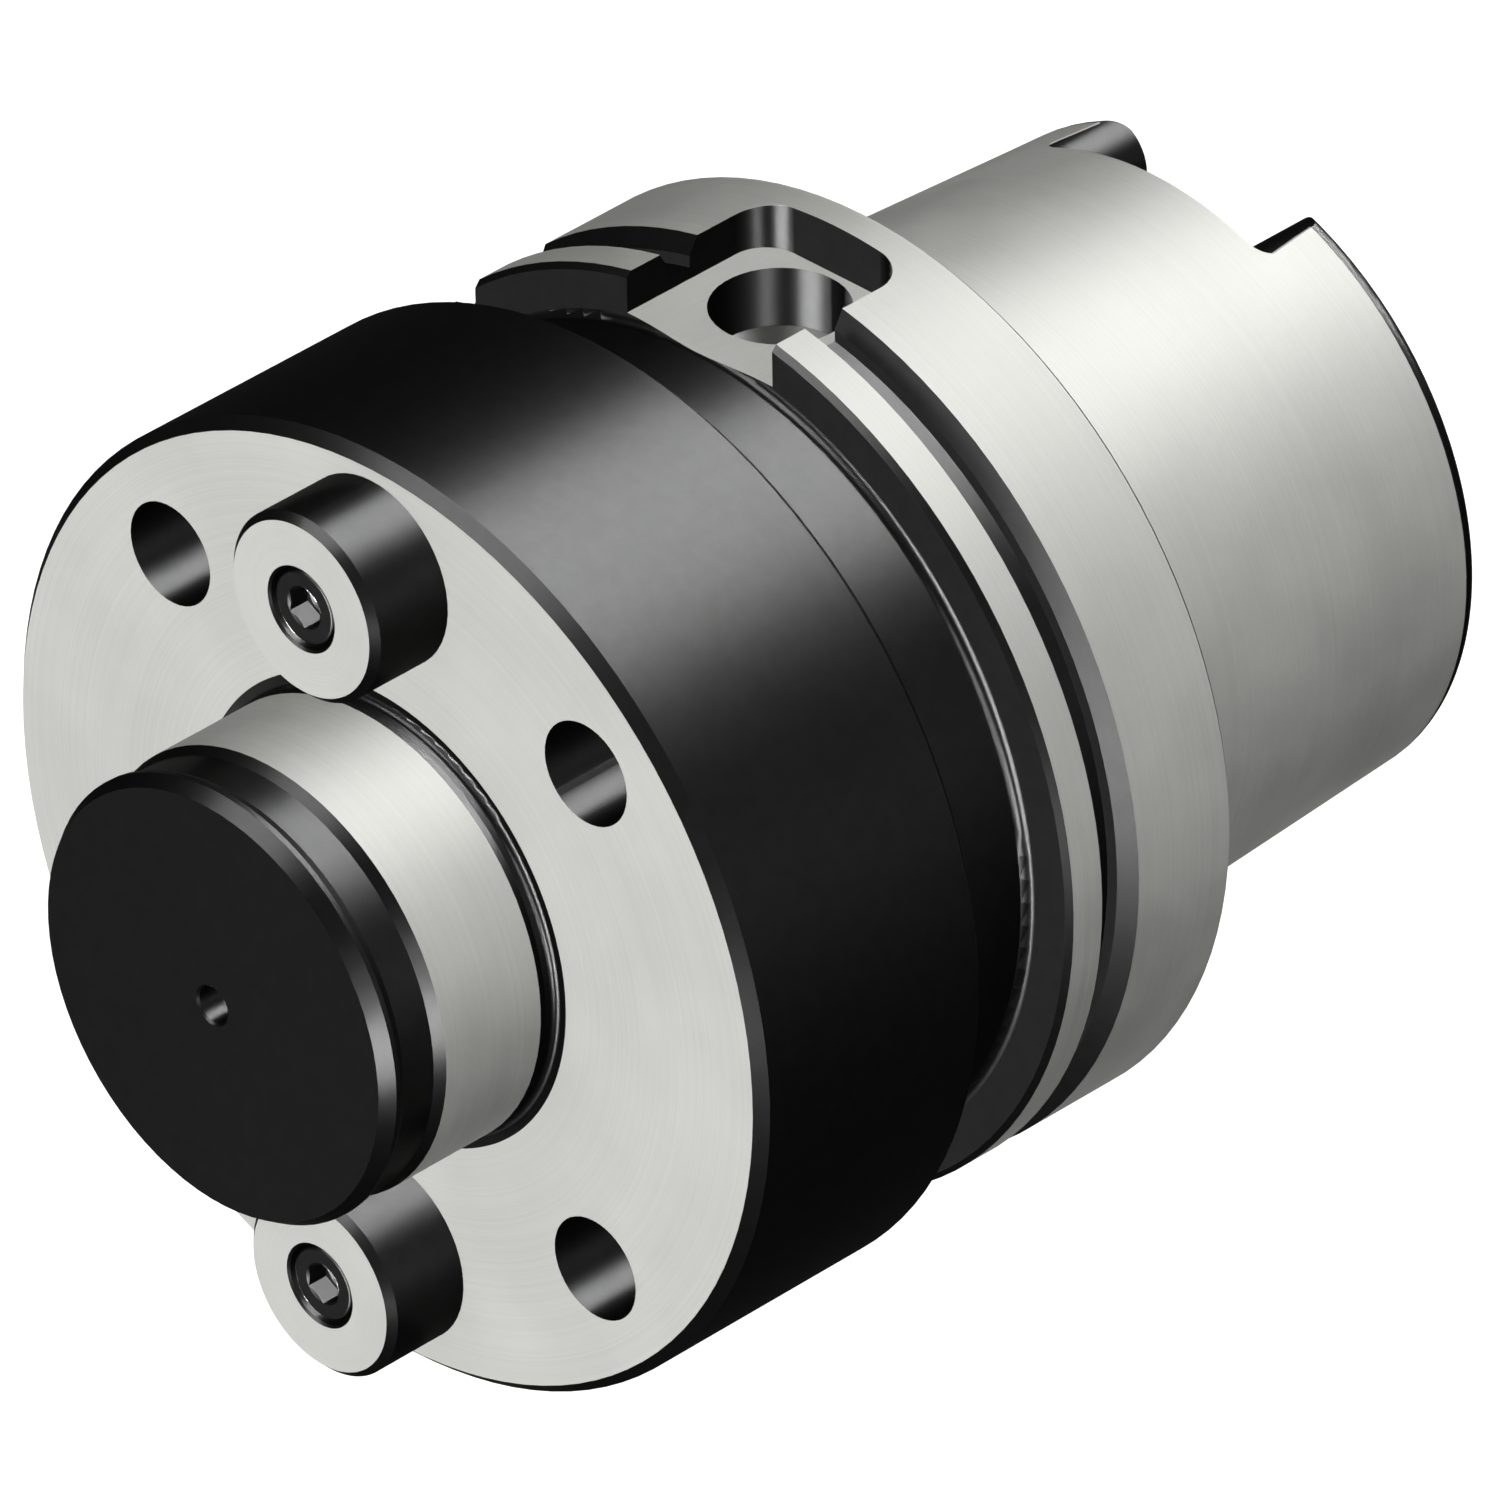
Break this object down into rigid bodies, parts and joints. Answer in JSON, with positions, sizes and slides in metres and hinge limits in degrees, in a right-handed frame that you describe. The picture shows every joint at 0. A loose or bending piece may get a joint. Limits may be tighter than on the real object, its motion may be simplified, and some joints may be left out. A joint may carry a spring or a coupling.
{
  "type": "hsk adapter",
  "caption": "Spindle adapter with a hollow taper shank, gripper flange, thick round head, ground locating spigot, tapped holes in its seat face and round drive lugs.",
  "frame": {"origin": "centre of the flange's contact face, on the spindle axis", "axes": "+Z along the spindle axis from the shank to the pilot, +X towards the shallow flange slot and the upper drive lug; +Y towards the notch's side of the flange, which completes the right-handed frame"},
  "size_m": [0.13, 0.13, 0.177],
  "materials": {
    "ground_steel": "ground where it seats or locates, black-finished elsewhere",
    "lug_steel": "ground end face, black-finished sides",
    "black_screw": "black-finished",
    "tube_steel": "turned, bright",
    "nut_steel": "turned, dark",
    "seal_rubber": "matte"
  },
  "bodies": {
    "holder": {"adapter_body": "ground_steel", "drive_lug_upper": "lug_steel", "drive_lug_lower": "lug_steel", "lug_screw_upper": "black_screw", "lug_screw_lower": "black_screw", "tube_union_nut": "nut_steel"},
    "tube_seal": {"o_ring_front": "seal_rubber"},
    "floating_tube": {"coolant_tube": "tube_steel", "o_ring_rear": "seal_rubber"}
  },
  "joints": [
    {"name": "tube_tilt_x", "type": "hinge", "parent": "holder", "child": "tube_seal", "pos_m": [0, 0, 0.009], "axis": [1, 0, 0], "range_deg": [-1, 1], "stiffness_Nm_per_rad": 2},
    {"name": "tube_tilt_y", "type": "hinge", "parent": "tube_seal", "child": "floating_tube", "pos_m": [0, 0, 0.009], "axis": [0, 1, 0], "range_deg": [-1, 1], "stiffness_Nm_per_rad": 2}
  ]
}
